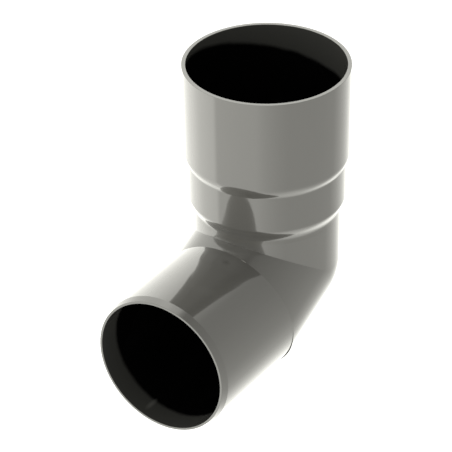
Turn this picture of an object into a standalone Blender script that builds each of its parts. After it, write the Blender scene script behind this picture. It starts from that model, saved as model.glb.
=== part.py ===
"""Fabricated PVC elbow for irrigation pipe: a bell socket above, a quarter bend in two mitres, a spigot below.

Every piece is a ring or a length of pipe. The socket axis is +Z with the mouth of the bell at the origin,
and the bend lies in the YZ plane, so the spigot points along -Y.
"""

import math

import bpy
from mathutils import Matrix, Vector

# Driving dimensions, in metres and degrees
SPIGOT_OD = 0.156  # outside of the pipe that the throat, the gore and the leg are cut from
WALL = 0.0045
BELL_MOUTH_ID = 0.1684
BELL_WALL = 0.0043
BELL_TAPER = 0.0009  # how much smaller the bell's radius is at its shoulder
SLEEVE_ID = 0.1592  # bore of the bell's neck and of the collar, over the throat pipe
SLEEVE_OD = 0.1676
BELL_SHOULDER = 0.1076  # depths below the mouth
COLLAR_SHOULDER = 0.1637
SHOULDER_HALF = 0.0055  # half the height of each rounded shoulder
PIPE_STOP = 0.104
KNEE_DEPTH = 0.230  # where the axes of the throat and the gore cross
GORE_LENGTH = 0.079  # between the crossings of the three axes
LEG_LENGTH = 0.1335
KNEE_ANGLE = 67.5
FULL_ANGLE = 90.0
NOSE_LENGTH = 0.0087
NOSE_DROP = 0.0021
CLEARANCE = 0.0003  # kept between touching pieces
WELD_WIDTH = 0.0008
WELD_PROUD = 0.0003
LIP = 0.0009  # what is left of the collar's wall at its lower edge
BEAD_LENGTH = 0.0032
BEAD_PROUD = 0.0009  # how far the wedge of the bead stands out at its upper end
BEAD_WAIST = 0.0003  # and half way down, where it is already thin
BEAD_EDGE = 0.00015
BAND_TOP_GAP = 0.0015  # how far below the ledge the cement in the bell's neck starts

STEPS = 72  # around each ring
SHOULDER_STEPS = 6
BALL_STEPS = 7
BALL_ANGLE = 48.0  # how far the ball of the knee is turned before the mitre cuts it
CUTTER_SIZE = 0.8
SHARP_ANGLE = 20.0  # a corner between faces that turns by more than this stays crisp

PIPE_R = SPIGOT_OD / 2
BORE_R = PIPE_R - WALL
SLEEVE_R = SLEEVE_OD / 2
SLEEVE_BORE_R = SLEEVE_ID / 2
KNEE_POINT = Vector((0, 0, -KNEE_DEPTH))


def clear_scene():
    for thing in list(bpy.data.objects):
        bpy.data.objects.remove(thing, do_unlink=True)


def new_collection(name):
    collection = bpy.data.collections.new(name)
    bpy.context.scene.collection.children.link(collection)
    return collection


def plastic(name, colour, roughness):
    material = bpy.data.materials.new(name)
    material.use_nodes = True
    shader = material.node_tree.nodes["Principled BSDF"]
    shader.inputs["Base Color"].default_value = (*colour, 1)
    shader.inputs["Roughness"].default_value = roughness
    shader.inputs["Metallic"].default_value = 0
    return material


def flow(angle):
    """The way the water runs after turning by this many degrees: down at 0, along -Y at 90."""
    turned = math.radians(angle)
    return Vector((0, -math.sin(turned), -math.cos(turned)))


def arc(radius, start, end, steps):
    """Points on a circle about the origin of the profile, angles in degrees below the horizontal."""
    angles = [math.radians(start + (end - start) * i / steps) for i in range(steps + 1)]
    return [(radius * math.cos(a), -radius * math.sin(a)) for a in angles]


def shoulder(upper_r, lower_r, depth, steps):
    """A smooth S between two radii, from the upper one down to the lower one."""
    top = SHOULDER_HALF - depth
    points = []
    for i in range(steps + 1):
        share = i / steps
        eased = share * share * (3 - 2 * share)
        radius = upper_r + (lower_r - upper_r) * eased
        points.append((radius, top - 2 * SHOULDER_HALF * share))
    return points


def turned(name, outside, inside, material):
    """A ring turned from a closed profile: down its outside, then up its inside."""
    profile = outside + inside
    mesh = bpy.data.meshes.new(name)
    count = len(profile)
    mesh.from_pydata([(r, 0, z) for r, z in profile], [(i, (i + 1) % count) for i in range(count)], [])
    ring = bpy.data.objects.new(name, mesh)
    parts.objects.link(ring)
    ring.data.materials.append(material)
    screw = ring.modifiers.new("Turn", "SCREW")
    screw.axis = "Z"
    screw.angle = math.tau
    screw.steps = STEPS
    screw.render_steps = STEPS
    screw.use_merge_vertices = True
    screw.merge_threshold = 0.00001
    screw.use_smooth_shade = True
    return ring


def aim(piece, point, angle):
    """Turns a piece made about -Z to the direction of flow at this angle, from this point."""
    piece.matrix_world = Matrix.Translation(point) @ Matrix.Rotation(-math.radians(angle), 4, "X")


def mitre_block(name, point, angle, low, high):
    """A block that fills the space from low to high along the flow at a mitre."""
    bpy.ops.mesh.primitive_cube_add(size=1)
    block = bpy.context.active_object
    block.name = name
    for collection in block.users_collection:
        collection.objects.unlink(block)
    cutters.objects.link(block)
    size = Vector((CUTTER_SIZE, CUTTER_SIZE, high - low))
    for vertex in block.data.vertices:
        vertex.co = vertex.co * size
    aim(block, point + flow(angle) * (low + high) / 2, angle)
    block.hide_render = True
    block.display_type = "WIRE"
    return block


def trim(piece, block, operation):
    cut = piece.modifiers.new(block.name, "BOOLEAN")
    cut.operation = operation
    cut.solver = "EXACT"
    cut.object = block


def smooth(piece):
    """Applies the modifiers, then shades the round faces smooth."""
    bpy.context.view_layer.update()
    evaluated = piece.evaluated_get(bpy.context.evaluated_depsgraph_get())
    mesh = bpy.data.meshes.new_from_object(evaluated)
    piece.modifiers.clear()
    piece.data = mesh
    mesh.name = piece.name
    mesh.shade_smooth()
    mesh.set_sharp_from_angle(angle=math.radians(SHARP_ANGLE))


def socket_bell(material):
    outside = [(BELL_MOUTH_ID / 2 + BELL_WALL, 0)]
    outside += shoulder(BELL_MOUTH_ID / 2 + BELL_WALL - BELL_TAPER, SLEEVE_R, BELL_SHOULDER, SHOULDER_STEPS)
    lower_end = -(BELL_SHOULDER + SHOULDER_HALF + CLEARANCE)
    outside.append((SLEEVE_R, lower_end))
    inside = [
        (SLEEVE_BORE_R, lower_end),
        (SLEEVE_BORE_R, -PIPE_STOP),
        (BELL_MOUTH_ID / 2 - BELL_TAPER, -PIPE_STOP),
        (BELL_MOUTH_ID / 2, 0),
    ]
    return turned("socket_bell", outside, inside, material)


def stop_collar(material):
    upper_end = -(BELL_SHOULDER + SHOULDER_HALF + 2 * CLEARANCE)
    lip_r = PIPE_R + CLEARANCE + LIP
    outside = [(SLEEVE_R, upper_end)] + shoulder(SLEEVE_R, lip_r, COLLAR_SHOULDER, SHOULDER_STEPS)
    lower_end = outside[-1][1]
    inside = [
        (PIPE_R + CLEARANCE, lower_end),
        (SLEEVE_BORE_R, -COLLAR_SHOULDER),
        (SLEEVE_BORE_R, upper_end),
    ]
    return turned("stop_collar", outside, inside, material)


def cement_band(name, top, bottom, material):
    """Set cement in the gap between the throat pipe and a sleeve."""
    outer = SLEEVE_BORE_R - CLEARANCE
    inner = PIPE_R + CLEARANCE
    return turned(name, [(outer, -top), (outer, -bottom)], [(inner, -bottom), (inner, -top)], material)


def collar_bead(material):
    """The wedge of cement squeezed out under the collar, against the throat pipe."""
    top = -(COLLAR_SHOULDER + SHOULDER_HALF + CLEARANCE)
    inner = PIPE_R + CLEARANCE
    foot = top - BEAD_LENGTH
    outside = [(inner + BEAD_PROUD, top), (inner + BEAD_WAIST, (top + foot) / 2), (inner + BEAD_EDGE, foot)]
    inside = [(inner, foot), (inner, top)]
    return turned("collar_cement_bead", outside, inside, material)


def ball_ended(name, outer_r, inner_r, length, material):
    """A length of pipe below the origin of its profile's ball, which rounds the outside of the knee."""
    outside = [(outer_r, length)] + arc(outer_r, 0, BALL_ANGLE, BALL_STEPS)
    inside = arc(inner_r, BALL_ANGLE, 0, BALL_STEPS) + [(inner_r, length)]
    return turned(name, outside, inside, material)


def throat_pipe(material):
    pipe = ball_ended("throat_pipe", PIPE_R, BORE_R, KNEE_DEPTH - PIPE_STOP, material)
    aim(pipe, KNEE_POINT, 0)
    half_gap = WELD_WIDTH / 2 + CLEARANCE
    trim(pipe, mitre_block("throat_trim", KNEE_POINT, KNEE_ANGLE / 2, -half_gap, CUTTER_SIZE), "DIFFERENCE")
    return pipe


def bend_gore(material):
    """The middle segment: its ball end faces up the gore's own axis, so it is turned end for end."""
    gore = ball_ended("bend_gore", PIPE_R, BORE_R, 2 * GORE_LENGTH, material)
    aim(gore, KNEE_POINT, KNEE_ANGLE + 180)
    half_gap = WELD_WIDTH / 2 + CLEARANCE
    trim(gore, mitre_block("gore_top_trim", KNEE_POINT, KNEE_ANGLE / 2, -CUTTER_SIZE, half_gap), "DIFFERENCE")
    trim(gore, mitre_block("gore_foot_trim", HEEL_POINT, HEEL_MITRE, -half_gap, CUTTER_SIZE), "DIFFERENCE")
    return gore


def spigot_leg(material):
    nose_r = PIPE_R - NOSE_DROP
    outside = [(PIPE_R, PIPE_R), (PIPE_R, NOSE_LENGTH - LEG_LENGTH), (nose_r, -LEG_LENGTH)]
    inside = [(BORE_R, -LEG_LENGTH), (BORE_R, PIPE_R)]
    leg = turned("spigot_leg", outside, inside, material)
    aim(leg, HEEL_POINT, FULL_ANGLE)
    half_gap = WELD_WIDTH / 2 + CLEARANCE
    trim(leg, mitre_block("leg_trim", HEEL_POINT, HEEL_MITRE, -CUTTER_SIZE, half_gap), "DIFFERENCE")
    return leg


def knee_weld(material):
    """The filler between throat and gore, a slice of the same ball-ended pipe, a little proud of both."""
    weld = ball_ended("knee_weld", PIPE_R + WELD_PROUD, BORE_R, PIPE_R, material)
    aim(weld, KNEE_POINT, 0)
    half = WELD_WIDTH / 2
    trim(weld, mitre_block("knee_slice", KNEE_POINT, KNEE_ANGLE / 2, -half, half), "INTERSECT")
    return weld


def heel_weld(material):
    outer = PIPE_R + WELD_PROUD
    weld = turned("heel_weld", [(outer, PIPE_R), (outer, -PIPE_R)], [(BORE_R, -PIPE_R), (BORE_R, PIPE_R)], material)
    aim(weld, HEEL_POINT, KNEE_ANGLE)
    half = WELD_WIDTH / 2
    trim(weld, mitre_block("heel_slice", HEEL_POINT, HEEL_MITRE, -half, half), "INTERSECT")
    return weld


HEEL_POINT = KNEE_POINT + flow(KNEE_ANGLE) * GORE_LENGTH
HEEL_MITRE = (KNEE_ANGLE + FULL_ANGLE) / 2

clear_scene()
parts = new_collection("pvc_elbow_fitting")
cutters = new_collection("cutters")

grey = plastic("grey_pvc", (0.17, 0.17, 0.16), 0.18)
sleeve_grey = plastic("sleeve_pvc", (0.19, 0.19, 0.18), 0.18)
cement = plastic("set_cement", (0.24, 0.24, 0.22), 0.45)
filler = plastic("weld_rod", (0.13, 0.13, 0.125), 0.35)

bell_neck_end = BELL_SHOULDER + SHOULDER_HALF
collar_band_top = bell_neck_end + 4 * CLEARANCE
pieces = [
    socket_bell(sleeve_grey),
    stop_collar(sleeve_grey),
    cement_band("bell_cement_band", PIPE_STOP + BAND_TOP_GAP, bell_neck_end, cement),
    cement_band("collar_cement_band", collar_band_top, COLLAR_SHOULDER - SHOULDER_HALF, cement),
    collar_bead(cement),
    throat_pipe(grey),
    knee_weld(filler),
    bend_gore(grey),
    heel_weld(filler),
    spigot_leg(grey),
]
for piece in pieces:
    smooth(piece)
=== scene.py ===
import math

import bmesh
import bpy
from mathutils import Matrix, Vector


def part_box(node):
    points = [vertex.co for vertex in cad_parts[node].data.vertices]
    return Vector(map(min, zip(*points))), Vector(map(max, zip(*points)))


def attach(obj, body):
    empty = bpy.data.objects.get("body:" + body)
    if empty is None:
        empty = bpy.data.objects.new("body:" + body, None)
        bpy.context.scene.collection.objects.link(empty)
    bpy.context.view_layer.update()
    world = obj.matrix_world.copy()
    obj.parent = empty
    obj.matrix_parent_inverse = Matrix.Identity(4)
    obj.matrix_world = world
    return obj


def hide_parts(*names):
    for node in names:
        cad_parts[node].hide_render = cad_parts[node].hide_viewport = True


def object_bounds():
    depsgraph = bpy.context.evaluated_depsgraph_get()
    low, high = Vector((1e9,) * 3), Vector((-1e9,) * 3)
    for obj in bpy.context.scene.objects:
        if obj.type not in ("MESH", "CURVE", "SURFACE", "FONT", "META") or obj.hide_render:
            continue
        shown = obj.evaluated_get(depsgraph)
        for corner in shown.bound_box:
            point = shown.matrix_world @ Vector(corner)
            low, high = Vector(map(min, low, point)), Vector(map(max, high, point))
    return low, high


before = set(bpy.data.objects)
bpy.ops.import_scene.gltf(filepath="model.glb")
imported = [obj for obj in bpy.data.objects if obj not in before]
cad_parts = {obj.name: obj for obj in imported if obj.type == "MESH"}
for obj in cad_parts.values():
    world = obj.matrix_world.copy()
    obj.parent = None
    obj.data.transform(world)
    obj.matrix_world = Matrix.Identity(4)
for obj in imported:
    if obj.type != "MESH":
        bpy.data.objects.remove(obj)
cad_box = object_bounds()

# The socket bell is a sleeve of rigid grey PVC, 6 in iron-pipe-size inside. It is heated, pushed over a mandrel
# to open the mouth, and drawn down by the rounded shoulder to a neck that slips over the throat pipe.
AROUND = 288
EDGE_ROUND = 0.0004
ARC_PARTS = 12
SHOULDER_ROWS = 32
SHARP_CORNER = math.radians(12)
BELL_WALL = 0.0043
BELL_TAPER = 0.0009
BELL_SHOULDER_HEIGHT = 0.0145
BELL_SHOULDER_LAG = 1.6
SLEEVE_WALL = 0.0042
PIPE_STOP_DEPTH = 0.104
# The bore's mouth band is painted light: dull grey where light falls into each mouth, up to a soft edge that
# wanders a little.
PAINTED_MOUTH_LIGHT = (0.05, 0.05, 0.047, 1)
PAINTED_MOUTH_LIGHT_EDGE = 0.0035
PAINTED_MOUTH_LIGHT_WANDER = 0.004
PVC_SHINE = 2.2
BORE_SHINE = 1.33
# Near-black painted shade for the dark deep inside of each bore.
BORE_PAINTED_SHADE = (0.0015, 0.0015, 0.0015)

rim_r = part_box("socket_bell")[1].x
neck_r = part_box("stop_collar")[1].x
neck_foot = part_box("stop_collar")[1].z


def shoulder(upper_r, lower_r, top, bottom, lag):
    """A smooth S in the wall, from the upper radius to the lower one. More lag keeps the drop near its foot."""
    points = []
    for i in range(SHOULDER_ROWS + 1):
        share = i / SHOULDER_ROWS
        late = share ** lag
        eased = late * late * (3 - 2 * late)
        points.append((upper_r + (lower_r - upper_r) * eased, top + (bottom - top) * share))
    return points


def broken_corner(before, corner, after, size):
    """Points that round a cut corner of the wall by about this size."""
    b, c, a = (Vector((p[0], p[1])) for p in (before, corner, after))
    start = c + (b - c).normalized() * size
    end = c + (a - c).normalized() * size
    points = []
    for i in range(ARC_PARTS + 1):
        t = i / ARC_PARTS
        p = start * (1 - t) ** 2 + c * 2 * t * (1 - t) + end * t * t
        points.append((p.x, p.y))
    return points


def turned_rows(profile):
    """Turns each (radius, height) of a profile into a ring of points about the pipe's own axis."""
    rows = []
    for radius, height in profile:
        rows.append([
            Vector((radius * math.cos(math.tau * k / AROUND), radius * math.sin(math.tau * k / AROUND), height))
            for k in range(AROUND)
        ])
    return rows


def pipe_piece(name, stretches, finishes, place=Matrix()):
    """One closed piece of pipe. Each stretch is (rows, finish index), and the last closes on the first."""
    rows, marks = [], []
    for stretch, mark in stretches:
        rows += stretch
        marks += [mark] * len(stretch)
    mesh = bmesh.new()
    rings = [[mesh.verts.new(p) for p in row] for row in rows]
    for i, ring in enumerate(rings):
        following = rings[(i + 1) % len(rings)]
        for k in range(AROUND):
            n = (k + 1) % AROUND
            face = mesh.faces.new((ring[k], following[k], following[n], ring[n]))
            face.material_index = marks[i]
            face.smooth = True
    bmesh.ops.remove_doubles(mesh, verts=mesh.verts, dist=1e-6)
    bmesh.ops.recalc_face_normals(mesh, faces=mesh.faces)
    data = bpy.data.meshes.new(name)
    mesh.to_mesh(data)
    mesh.free()
    for finish in finishes:
        data.materials.append(finish)
    data.set_sharp_from_angle(angle=SHARP_CORNER)
    piece = bpy.data.objects.new(name, data)
    bpy.context.scene.collection.objects.link(piece)
    piece.matrix_world = place
    even = piece.modifiers.new("even_shading", "WEIGHTED_NORMAL")
    even.keep_sharp = True
    even.weight = 100
    return piece


DRAW_LINES = 260
CLOUDS = 22
GRAIN = 900
GLOSSIEST, DULLEST = 0.05, 0.12
SKIN_RELIEF = 0.00002


def pipe_finish(name, colour, shine, streaks, speckle):
    """Extruded rigid PVC: glossy skin, faint draw lines along the pipe, a slight cloudiness in the colour."""
    finish = bpy.data.materials.new(name)
    finish.use_nodes = True
    nodes, links = finish.node_tree.nodes, finish.node_tree.links
    skin = nodes["Principled BSDF"]
    skin.inputs["IOR"].default_value = shine
    along = nodes.new("ShaderNodeTexCoord")
    drawn = nodes.new("ShaderNodeMapping")
    drawn.inputs["Scale"].default_value = (1, 1, 0.02)
    links.new(along.outputs["Object"], drawn.inputs["Vector"])
    lines = nodes.new("ShaderNodeTexNoise")
    lines.inputs["Scale"].default_value = DRAW_LINES
    lines.inputs["Detail"].default_value = 3
    links.new(drawn.outputs["Vector"], lines.inputs["Vector"])
    cloud = nodes.new("ShaderNodeTexNoise")
    cloud.inputs["Scale"].default_value = CLOUDS
    cloud.inputs["Detail"].default_value = 5
    links.new(along.outputs["Object"], cloud.inputs["Vector"])
    grain = nodes.new("ShaderNodeTexNoise")
    grain.inputs["Scale"].default_value = GRAIN
    grain.inputs["Detail"].default_value = 2
    links.new(along.outputs["Object"], grain.inputs["Vector"])
    tone = nodes.new("ShaderNodeMix")
    tone.data_type = "RGBA"
    tone.inputs["A"].default_value = (*(c * (1 - speckle) for c in colour), 1)
    tone.inputs["B"].default_value = (*(c * (1 + speckle) for c in colour), 1)
    both = nodes.new("ShaderNodeMix")
    both.inputs["Factor"].default_value = 0.35
    links.new(cloud.outputs["Fac"], both.inputs["A"])
    links.new(lines.outputs["Fac"], both.inputs["B"])
    links.new(both.outputs["Result"], tone.inputs["Factor"])
    links.new(tone.outputs["Result"], skin.inputs["Base Color"])
    matt = nodes.new("ShaderNodeMapRange")
    matt.inputs["To Min"].default_value = GLOSSIEST
    matt.inputs["To Max"].default_value = DULLEST
    links.new(cloud.outputs["Fac"], matt.inputs["Value"])
    links.new(matt.outputs["Result"], skin.inputs["Roughness"])
    height = nodes.new("ShaderNodeMix")
    height.inputs["Factor"].default_value = 0.25
    links.new(lines.outputs["Fac"], height.inputs["A"])
    links.new(grain.outputs["Fac"], height.inputs["B"])
    relief = nodes.new("ShaderNodeBump")
    relief.inputs["Strength"].default_value = streaks
    relief.inputs["Distance"].default_value = SKIN_RELIEF
    links.new(height.outputs["Result"], relief.inputs["Height"])
    links.new(relief.outputs["Normal"], skin.inputs["Normal"])
    return finish


def bore_painted_shade_and_light(name, mouth_height, inward, reach, lean):
    """The inside of the pipe, painted near-black as painted shade. A band of it by the mouth is painted dull
    grey as painted light falling into the mouth, up to a soft edge.
    """
    finish = pipe_finish(name, BORE_PAINTED_SHADE, BORE_SHINE, 0.15, 0.1)
    nodes, links = finish.node_tree.nodes, finish.node_tree.links
    skin = nodes["Principled BSDF"]
    skin.inputs["Specular IOR Level"].default_value = 0.12
    black = skin.inputs["Base Color"].links[0].from_socket
    place = nodes.new("ShaderNodeTexCoord")
    depth = nodes.new("ShaderNodeVectorMath")
    depth.operation = "DOT_PRODUCT"
    depth.inputs[1].default_value = (lean[0], lean[1], inward)
    links.new(place.outputs["Object"], depth.inputs[0])
    cloudy = nodes.new("ShaderNodeTexNoise")
    cloudy.inputs["Scale"].default_value = 35
    links.new(place.outputs["Object"], cloudy.inputs["Vector"])
    wavy = nodes.new("ShaderNodeMath")
    wavy.operation = "MULTIPLY_ADD"
    wavy.inputs[1].default_value = PAINTED_MOUTH_LIGHT_WANDER
    links.new(cloudy.outputs["Fac"], wavy.inputs[0])
    links.new(depth.outputs["Value"], wavy.inputs[2])
    edge = nodes.new("ShaderNodeMapRange")
    edge.interpolation_type = "SMOOTHSTEP"
    edge.inputs["From Min"].default_value = mouth_height * inward + reach - PAINTED_MOUTH_LIGHT_EDGE
    edge.inputs["From Max"].default_value = mouth_height * inward + reach + PAINTED_MOUTH_LIGHT_EDGE
    links.new(wavy.outputs["Value"], edge.inputs["Value"])
    # Painted light: the mouth band's grey is mixed over the bore's painted-shade black and fades out past the
    # soft edge.
    band = nodes.new("ShaderNodeMix")
    band.data_type = "RGBA"
    band.inputs["A"].default_value = PAINTED_MOUTH_LIGHT
    links.new(edge.outputs["Result"], band.inputs["Factor"])
    links.new(black, band.inputs["B"])
    links.new(band.outputs["Result"], skin.inputs["Base Color"])
    return finish


grey_skin = pipe_finish("grey_pvc_skin", (0.1, 0.0975, 0.091), PVC_SHINE, 0.2, 0.05)
rim_face = pipe_finish("trimmed_pvc_edge", (0.13, 0.13, 0.122), PVC_SHINE, 0.5, 0.08)
# The bell bore's painted light band leans so that its edge follows the light falling into the mouth.
dark_bore = bore_painted_shade_and_light("dark_bell_bore", 0, -1, 0.0218, (-0.128, -0.146))
pipe_finishes = [grey_skin, rim_face, dark_bore]
SKIN, EDGE, BORE = 0, 1, 2

bell_foot_r = rim_r - BELL_TAPER
shoulder_top = neck_foot + BELL_SHOULDER_HEIGHT
neck_bore_r = neck_r - SLEEVE_WALL
bell_bore_r = rim_r - BELL_WALL
bell_outside = broken_corner((bell_bore_r, 0), (rim_r, 0), (bell_foot_r, shoulder_top), EDGE_ROUND)
bell_outside += shoulder(bell_foot_r, neck_r, shoulder_top, neck_foot, BELL_SHOULDER_LAG)
bell_inside = [
    (neck_bore_r, neck_foot),
    (neck_bore_r, -PIPE_STOP_DEPTH),
    (bell_bore_r - BELL_TAPER, -PIPE_STOP_DEPTH),
]
bell_lip = broken_corner((bell_bore_r - BELL_TAPER, -PIPE_STOP_DEPTH), (bell_bore_r, 0), (rim_r, 0), EDGE_ROUND)
bell = pipe_piece(
    "bell_sleeve",
    [(turned_rows(bell_outside), SKIN), (turned_rows(bell_inside), BORE), (turned_rows(bell_lip), EDGE)],
    pipe_finishes,
)
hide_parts("socket_bell")
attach(bell, "root")

# The stop collar is a short second sleeve of the same PVC, cemented round the throat under the bell to carry
# its neck. Its foot is drawn in by a shoulder like the bell's, down to a feather edge on the pipe.
COLLAR_LIP = 0.00008
COLLAR_SHOULDER_HEIGHT = 0.016

collar_low, collar_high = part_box("stop_collar")
throat_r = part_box("throat_pipe")[1].x
collar_shoulder_top = collar_low.z + COLLAR_SHOULDER_HEIGHT
collar_outside = [(neck_r, collar_high.z)]
collar_outside += shoulder(neck_r, throat_r + COLLAR_LIP, collar_shoulder_top, collar_low.z, 1)
cement_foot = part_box("collar_cement_band")[0].z
collar_inside = [
    (throat_r, collar_low.z),
    (throat_r, cement_foot),
    (neck_bore_r, cement_foot),
    (neck_bore_r, collar_high.z),
]
collar = pipe_piece(
    "collar_sleeve",
    [(turned_rows(collar_outside), SKIN), (turned_rows(collar_inside), BORE)],
    pipe_finishes,
)
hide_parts("stop_collar")
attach(collar, "root")

# Solvent cement fills the gap between each sleeve and the throat. What is squeezed out under the collar is
# wiped almost flush. The two bands between the sleeves and the pipe are out of sight.
BEAD_ROWS = 8

cement = pipe_finish("set_cement", (0.105, 0.102, 0.094), 2.1, 0.6, 0.12)
bead_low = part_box("collar_cement_bead")[0]
bead_profile = []
for i in range(BEAD_ROWS + 1):
    share = i / BEAD_ROWS
    bead_profile.append((
        throat_r + COLLAR_LIP * (1 - share) ** 2,
        collar_low.z + (bead_low.z - collar_low.z) * share,
    ))
bead_profile += [(throat_r - COLLAR_LIP, bead_low.z), (throat_r - COLLAR_LIP, collar_low.z)]
bead = pipe_piece("cement_wedge", [(turned_rows(bead_profile), SKIN)], [cement])
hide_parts("collar_cement_bead")
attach(bead, "root")
for node in ("bell_cement_band", "collar_cement_band"):
    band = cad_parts[node]
    band.data.materials.clear()
    band.data.materials.append(cement)

# The throat pipe runs down through both sleeves. At its foot the outside of the knee is dressed round, like
# a ball of the pipe's own size, and it is cut on the mitre where the bend starts.
PIPE_WALL = 0.0045
KNEE_DEPTH = 0.230
KNEE_ANGLE = math.radians(67.5)
BALL_ROWS = 20

knee_point = Vector((0, 0, -KNEE_DEPTH))


def ball_cut_rows(radius, far_height):
    """Rings from the far end to a mitre at half the knee's angle. The long side goes round the ball first."""
    rise, run = math.sin(KNEE_ANGLE / 2), math.cos(KNEE_ANGLE / 2)
    columns = []
    for k in range(AROUND):
        angle = math.tau * k / AROUND
        across, side = math.cos(angle), math.sin(angle)
        far = far_height(radius * side)
        ball_end = max(math.atan2(side * rise, run), 0)
        straight_end = max(-radius * side * rise / run, 0)
        column = [
            Vector((radius * across, radius * side, far)),
            Vector((radius * across, radius * side, straight_end)),
        ]
        for i in range(1, BALL_ROWS + 1):
            turn = ball_end * i / BALL_ROWS
            column.append(Vector((
                radius * across * math.cos(turn),
                radius * side * math.cos(turn),
                straight_end - radius * math.sin(turn),
            )))
        columns.append(column)
    return [[column[i] for column in columns] for i in range(BALL_ROWS + 2)]


throat_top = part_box("throat_pipe")[1].z + KNEE_DEPTH
bore_r = throat_r - PIPE_WALL
throat = pipe_piece(
    "throat_length",
    [
        (ball_cut_rows(throat_r, lambda y: throat_top), SKIN),
        (ball_cut_rows(bore_r, lambda y: throat_top)[::-1], BORE),
    ],
    pipe_finishes,
    Matrix.Translation(knee_point),
)
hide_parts("throat_pipe")
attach(throat, "root")

# The bend gore is the short middle segment, cut on both mitres and turned from the throat. Its upper end
# carries the other half of the ball, so the outside of the knee is one smooth round.
GORE_LENGTH = 0.079
HEEL_TURN = math.pi / 2 - KNEE_ANGLE

gore_flow = Vector((0, -math.sin(KNEE_ANGLE), -math.cos(KNEE_ANGLE)))
heel_point = knee_point + gore_flow * GORE_LENGTH
gore_place = (
    Matrix.Translation(knee_point)
    @ Matrix.Rotation(-(KNEE_ANGLE + math.pi), 4, "X")
    @ Matrix.Rotation(math.pi, 4, "Z")
)


def heel_height(y):
    return GORE_LENGTH + y * math.tan(HEEL_TURN / 2)


gore = pipe_piece(
    "gore_segment",
    [
        (ball_cut_rows(throat_r, heel_height), SKIN),
        (ball_cut_rows(bore_r, heel_height)[::-1], BORE),
    ],
    pipe_finishes,
    gore_place,
)
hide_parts("bend_gore")
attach(gore, "root")

# The spigot leg is the last straight length, mitred at the heel. Its nose is chamfered all round so that it
# starts into the next socket, its end is trimmed square, and a small highlight is painted into the bore near
# the nose.
NOSE_LENGTH = 0.0087
NOSE_DROP = 0.0021
# A small painted highlight in the leg's bore near the nose: a lighter grey streak that stands in for a glint.
PAINTED_GLINT_SIDE = (-0.0256, 0.0688)
PAINTED_GLINT_DEPTH = 0.018
PAINTED_GLINT_SIZE = (0.0034, 0.006, 0.012)
PAINTED_GLINT_GREY = (0.11, 0.11, 0.105, 1)

leg_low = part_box("spigot_leg")[0]
leg_length = heel_point.y - leg_low.y
leg_place = Matrix.Translation(heel_point) @ Matrix.Rotation(-math.pi / 2, 4, "X")


def mitred_rows(radius, profile):
    """Rings of a leg: the first lies on the heel's mitre, and the others are square to the pipe."""
    first = []
    for k in range(AROUND):
        angle = math.tau * k / AROUND
        y = radius * math.sin(angle)
        first.append(Vector((radius * math.cos(angle), y, y * math.tan(HEEL_TURN / 2))))
    return [first] + turned_rows(profile)


nose_start = NOSE_LENGTH - leg_length
nose_r = throat_r - NOSE_DROP
nose_outer = broken_corner((throat_r, nose_start), (nose_r, -leg_length), (bore_r, -leg_length), EDGE_ROUND)
nose_inner = broken_corner((nose_r, -leg_length), (bore_r, -leg_length), (bore_r, 0), EDGE_ROUND)
# The leg bore carries the same painted shade, with a painted light band at its nose, square to the pipe.
leg_bore = bore_painted_shade_and_light("dark_leg_bore", -leg_length, 1, 0.027, (0, 0))
bore_nodes, bore_links = leg_bore.node_tree.nodes, leg_bore.node_tree.links
bore_skin = bore_nodes["Principled BSDF"]
# The painted highlight: a soft lighter spot mixed into the bore's colour.
glint_place = bore_nodes.new("ShaderNodeTexCoord")
glint_patch = bore_nodes.new("ShaderNodeMapping")
glint_patch.vector_type = "TEXTURE"
glint_patch.inputs["Location"].default_value = (*PAINTED_GLINT_SIDE, PAINTED_GLINT_DEPTH - leg_length)
glint_patch.inputs["Scale"].default_value = PAINTED_GLINT_SIZE
bore_links.new(glint_place.outputs["Object"], glint_patch.inputs["Vector"])
glint_shape = bore_nodes.new("ShaderNodeTexGradient")
glint_shape.gradient_type = "SPHERICAL"
bore_links.new(glint_patch.outputs["Vector"], glint_shape.inputs["Vector"])
glint_mix = bore_nodes.new("ShaderNodeMix")
glint_mix.data_type = "RGBA"
glint_mix.inputs["B"].default_value = PAINTED_GLINT_GREY
bore_links.new(glint_shape.outputs["Fac"], glint_mix.inputs["Factor"])
bore_links.new(bore_skin.inputs["Base Color"].links[0].from_socket, glint_mix.inputs["A"])
bore_links.new(glint_mix.outputs["Result"], bore_skin.inputs["Base Color"])
leg = pipe_piece(
    "spigot_length",
    [
        (mitred_rows(throat_r, [(throat_r, nose_start)] + nose_outer[:-1]), SKIN),
        (turned_rows(nose_outer[-1:] + nose_inner[:-1]), EDGE),
        (turned_rows(nose_inner[-1:]) + mitred_rows(bore_r, [])[::-1], BORE),
    ],
    [grey_skin, rim_face, leg_bore],
    leg_place,
)
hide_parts("spigot_leg")
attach(leg, "root")

# A PVC filler rod is run round each mitre. The knee's is scraped flush and buffed with the ball until it
# disappears. The heel's is left dull and stands proud low on both sides, with a nub where it was started.
# The nub is painted light grey as a painted highlight.
WELD_WIDTH = 0.0007
WELD_ROWS = 6
SCRAPED_UNDER = -0.00002
HEEL_PROUD = 0.001
NUB_PROUD = 0.0008
NUB_ANGLE = math.radians(290)
NUB_SPREAD = math.radians(1)
# The nub's light grey is a painted highlight on the start of the heel's filler rod.
NUB_PAINTED_HIGHLIGHT = (0.3, 0.3, 0.28, 1)

knee_tilt = Matrix.Translation(knee_point) @ Matrix.Rotation(-KNEE_ANGLE / 2, 4, "X")
heel_flow_turn = KNEE_ANGLE + HEEL_TURN / 2
heel_tilt = Matrix.Translation(heel_point) @ Matrix.Rotation(-heel_flow_turn, 4, "X")


def knee_outline(radius, angle):
    """Where the knee's mitre cuts the pipe: an ellipse inside the bend, the ball's own circle outside it."""
    across, side = math.cos(angle), math.sin(angle)
    return radius * across, radius * side / (math.cos(KNEE_ANGLE / 2) if side < 0 else 1)


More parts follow.
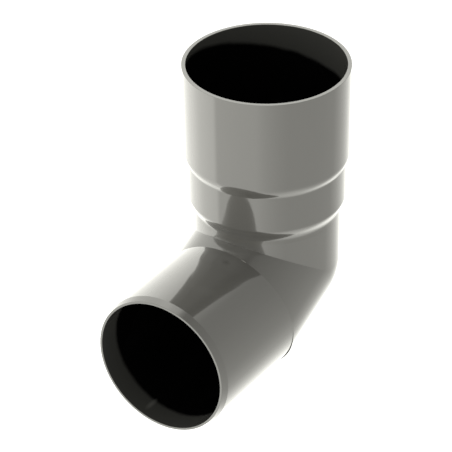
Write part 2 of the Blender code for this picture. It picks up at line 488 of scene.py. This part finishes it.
def heel_outline(radius, angle):
    return radius * math.cos(angle), radius * math.sin(angle) / math.cos(HEEL_TURN / 2)


def knee_proud(angle):
    return SCRAPED_UNDER


def heel_proud(angle):
    """The line stands proud low on both sides of the heel. Inside the bend only the start of the rod does."""
    outside = max(math.sin(angle), 0) * abs(math.cos(angle)) * 2
    nub = math.exp(-(((angle - NUB_ANGLE) / NUB_SPREAD) ** 2))
    return SCRAPED_UNDER + HEEL_PROUD * outside + NUB_PROUD * nub


def weld_ring(name, outline, proud, finish, place):
    """A thin ring of filler that lies in the mitre's plane, crowned on its outside."""
    rows = []
    for i in range(WELD_ROWS + 1):
        share = i / WELD_ROWS
        crown = 1 - (2 * share - 1) ** 2
        height = WELD_WIDTH * (0.5 - share)
        row = []
        for k in range(AROUND):
            angle = math.tau * k / AROUND
            row.append(Vector((*outline(throat_r + proud(angle) * crown, angle), height)))
        rows.append(row)
    for height in (-WELD_WIDTH / 2, WELD_WIDTH / 2):
        rows.append([Vector((*outline(bore_r, math.tau * k / AROUND), height)) for k in range(AROUND)])
    return pipe_piece(name, [(rows, SKIN)], [finish], place)


scraped_weld = pipe_finish("scraped_weld", (0.085, 0.083, 0.078), PVC_SHINE, 0.8, 0.1)
weld_nodes, weld_links = scraped_weld.node_tree.nodes, scraped_weld.node_tree.links
weld_skin = weld_nodes["Principled BSDF"]
weld_skin.inputs["Specular IOR Level"].default_value = 0
weld_place = weld_nodes.new("ShaderNodeTexCoord")
weld_sides = weld_nodes.new("ShaderNodeSeparateXYZ")
weld_links.new(weld_place.outputs["Object"], weld_sides.inputs["Vector"])
outer_side = weld_nodes.new("ShaderNodeMapRange")
outer_side.inputs["From Max"].default_value = 0.01
weld_links.new(weld_sides.outputs["Y"], outer_side.inputs["Value"])
# Painted highlight: the side of the heel ring inside the bend, where only the nub stands out, takes the light
# grey.
nub_highlight_mix = weld_nodes.new("ShaderNodeMix")
nub_highlight_mix.data_type = "RGBA"
nub_highlight_mix.inputs["A"].default_value = NUB_PAINTED_HIGHLIGHT
weld_links.new(outer_side.outputs["Result"], nub_highlight_mix.inputs["Factor"])
weld_links.new(weld_skin.inputs["Base Color"].links[0].from_socket, nub_highlight_mix.inputs["B"])
weld_links.new(nub_highlight_mix.outputs["Result"], weld_skin.inputs["Base Color"])
for name, node, outline, proud, finish, place in (
    ("knee_filler", "knee_weld", knee_outline, knee_proud, grey_skin, knee_tilt),
    ("heel_filler", "heel_weld", heel_outline, heel_proud, scraped_weld, heel_tilt),
):
    filler = weld_ring(name, outline, proud, finish, place)
    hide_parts(node)
    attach(filler, "root")

# The fitting hangs in a plain white light tent of cloth sheets, with a pale painted floor well below it.
# The sheets are brightest behind it and to the left, and dimmest high on the right.
CAMERA_TURN = math.radians(32.143)
CAMERA_TILT = math.radians(33.867)
CAMERA_DISTANCE = 3.0598
LOOK_AT = Vector((0.01323, 0.00831, -0.29892))
FRAME_WIDTH = 36.0
LENS = 223.0

camera_data = bpy.data.cameras.new("camera")
camera_data.sensor_width = FRAME_WIDTH
camera_data.lens = LENS
camera_data.shift_x = -0.1233
camera_data.shift_y = 0.1710
camera_data.clip_end = 50
camera = bpy.data.objects.new("camera", camera_data)
bpy.context.scene.collection.objects.link(camera)
camera.rotation_euler = (math.pi / 2 - CAMERA_TILT, 0, CAMERA_TURN)
sight = camera.rotation_euler.to_matrix() @ Vector((0, 0, -1))
camera.location = LOOK_AT - sight * CAMERA_DISTANCE
bpy.context.scene.camera = camera

BRIGHT_DEEP = (
    (-180, 1.0), (-165, 1.1), (-150, 1.0), (-135, 0.95), (-120, 0.92), (-105, 0.76), (-78, 0.68), (-72, 0.2),
    (-15, 0.08), (0, 0.03), (30, 0.03), (60, 0.15), (90, 0.15), (105, 0.24), (120, 0.46), (135, 0.85),
    (149, 1.1), (165, 0.9), (180, 1.0),
)
BRIGHT_LOW = (
    (-180, 0.95), (-150, 1.0), (-120, 0.94), (-105, 0.76), (-78, 0.68), (-72, 0.33), (-15, 0.31), (0, 0.18),
    (15, 0.09), (30, 0.03), (105, 0.02), (120, 0.19), (132, 0.36), (146, 0.6), (165, 0.87), (180, 0.95),
)
BRIGHT_HIGH = (
    (-180, 0.82), (-165, 1.1), (-150, 0.7), (-120, 0.55), (-78, 0.5), (-72, 0.33), (-15, 0.33), (30, 0.0),
    (105, 0.0), (120, 0.05), (135, 0.3), (150, 0.66), (165, 0.76), (180, 0.82),
)
TENT_SHADE = (
    (-90, 1.4), (-60, 1.25), (-50, 1.04), (-40, 0.88), (-30, 0.81), (-20, 0.76), (0, 0.67), (20, 0.59),
    (40, 0.48), (60, 0.38), (70, 0.3), (77, 0.15), (90, 0.15),
)
TENT_LIGHT = (
    (-90, 2.3), (-35, 2.5), (-20, 2.42), (0, 2.48), (10, 2.35), (20, 2.15), (40, 1.95), (60, 1.75), (90, 1.6),
)
TENT_PEAK = 2.5
TENT_WARMTH = (1.0, 0.995, 0.935)

world = bpy.data.worlds.new("light_tent")
world.use_nodes = True
tent, wires = world.node_tree.nodes, world.node_tree.links
facing = tent.new("ShaderNodeTexCoord")
square_on = tent.new("ShaderNodeVectorRotate")
square_on.rotation_type = "Z_AXIS"
square_on.inputs["Angle"].default_value = -CAMERA_TURN
wires.new(facing.outputs["Generated"], square_on.inputs["Vector"])
split = tent.new("ShaderNodeSeparateXYZ")
wires.new(square_on.outputs["Vector"], split.inputs["Vector"])
forward = tent.new("ShaderNodeMath")
forward.operation = "MULTIPLY"
forward.inputs[1].default_value = -1
wires.new(split.outputs["Y"], forward.inputs[0])
bearing = tent.new("ShaderNodeMath")
bearing.operation = "ARCTAN2"
wires.new(split.outputs["X"], bearing.inputs[0])
wires.new(forward.outputs["Value"], bearing.inputs[1])
height = tent.new("ShaderNodeMath")
height.operation = "ARCSINE"
wires.new(split.outputs["Z"], height.inputs[0])


def tent_ramp(angle, span, stops, peak):
    """Brightness round or up the tent, from stops of (degrees, brightness)."""
    share = tent.new("ShaderNodeMapRange")
    share.inputs["From Min"].default_value = -math.radians(span)
    share.inputs["From Max"].default_value = math.radians(span)
    wires.new(angle, share.inputs["Value"])
    ramp = tent.new("ShaderNodeValToRGB")
    wires.new(share.outputs["Result"], ramp.inputs["Fac"])
    marks = ramp.color_ramp.elements
    while len(marks) < len(stops):
        marks.new(0.5)
    for mark, (degrees, bright) in zip(marks, stops):
        mark.position = (degrees + span) / (2 * span)
        mark.color = (*[c * bright / peak for c in TENT_WARMTH], 1)
    return ramp.outputs["Color"]


bright_share = tent_ramp(bearing.outputs["Value"], 180, BRIGHT_DEEP, 1)
for stops, start, full in ((BRIGHT_LOW, -62, -38), (BRIGHT_HIGH, -30, 15)):
    rise = tent.new("ShaderNodeMapRange")
    rise.inputs["From Min"].default_value = math.radians(start)
    rise.inputs["From Max"].default_value = math.radians(full)
    wires.new(height.outputs["Value"], rise.inputs["Value"])
    blend = tent.new("ShaderNodeMix")
    blend.data_type = "RGBA"
    wires.new(rise.outputs["Result"], blend.inputs["Factor"])
    wires.new(bright_share, blend.inputs["A"])
    wires.new(tent_ramp(bearing.outputs["Value"], 180, stops, 1), blend.inputs["B"])
    bright_share = blend.outputs["Result"]
sheet = tent.new("ShaderNodeMix")
sheet.data_type = "RGBA"
wires.new(bright_share, sheet.inputs["Factor"])
wires.new(tent_ramp(height.outputs["Value"], 90, TENT_SHADE, TENT_PEAK), sheet.inputs["A"])
wires.new(tent_ramp(height.outputs["Value"], 90, TENT_LIGHT, TENT_PEAK), sheet.inputs["B"])
wires.new(sheet.outputs["Result"], tent["Background"].inputs["Color"])
tent["Background"].inputs["Strength"].default_value = TENT_PEAK
bpy.context.scene.world = world
bpy.context.scene.view_settings.view_transform = "Standard"

FLOOR_DROP = 1.2
FLOOR_HALF = 12.0
FLOOR_GLOW = 0.5

floor_z = cad_box[0].z - FLOOR_DROP
floor_data = bpy.data.meshes.new("floor")
floor_corners = [(x * FLOOR_HALF, y * FLOOR_HALF, floor_z) for x, y in ((-1, -1), (1, -1), (1, 1), (-1, 1))]
floor_data.from_pydata(floor_corners, [], [(0, 1, 2, 3)])
floor = bpy.data.objects.new("floor", floor_data)
bpy.context.scene.collection.objects.link(floor)
paint = bpy.data.materials.new("white_floor_paint")
paint.use_nodes = True
coat = paint.node_tree.nodes["Principled BSDF"]
coat.inputs["Roughness"].default_value = 0.9
coat.inputs["Specular IOR Level"].default_value = 0
coat.inputs["Emission Color"].default_value = (1, 1, 1, 1)
coat.inputs["Emission Strength"].default_value = FLOOR_GLOW
brushed = paint.node_tree.nodes.new("ShaderNodeTexNoise")
brushed.inputs["Scale"].default_value = 3
pale = paint.node_tree.nodes.new("ShaderNodeMix")
pale.data_type = "RGBA"
pale.inputs["A"].default_value = (0.93, 0.93, 0.93, 1)
pale.inputs["B"].default_value = (0.97, 0.97, 0.97, 1)
paint.node_tree.links.new(brushed.outputs["Fac"], pale.inputs["Factor"])
paint.node_tree.links.new(pale.outputs["Result"], coat.inputs["Base Color"])
floor_data.materials.append(paint)
floor.visible_glossy = False
floor.visible_diffuse = False
floor.visible_shadow = False
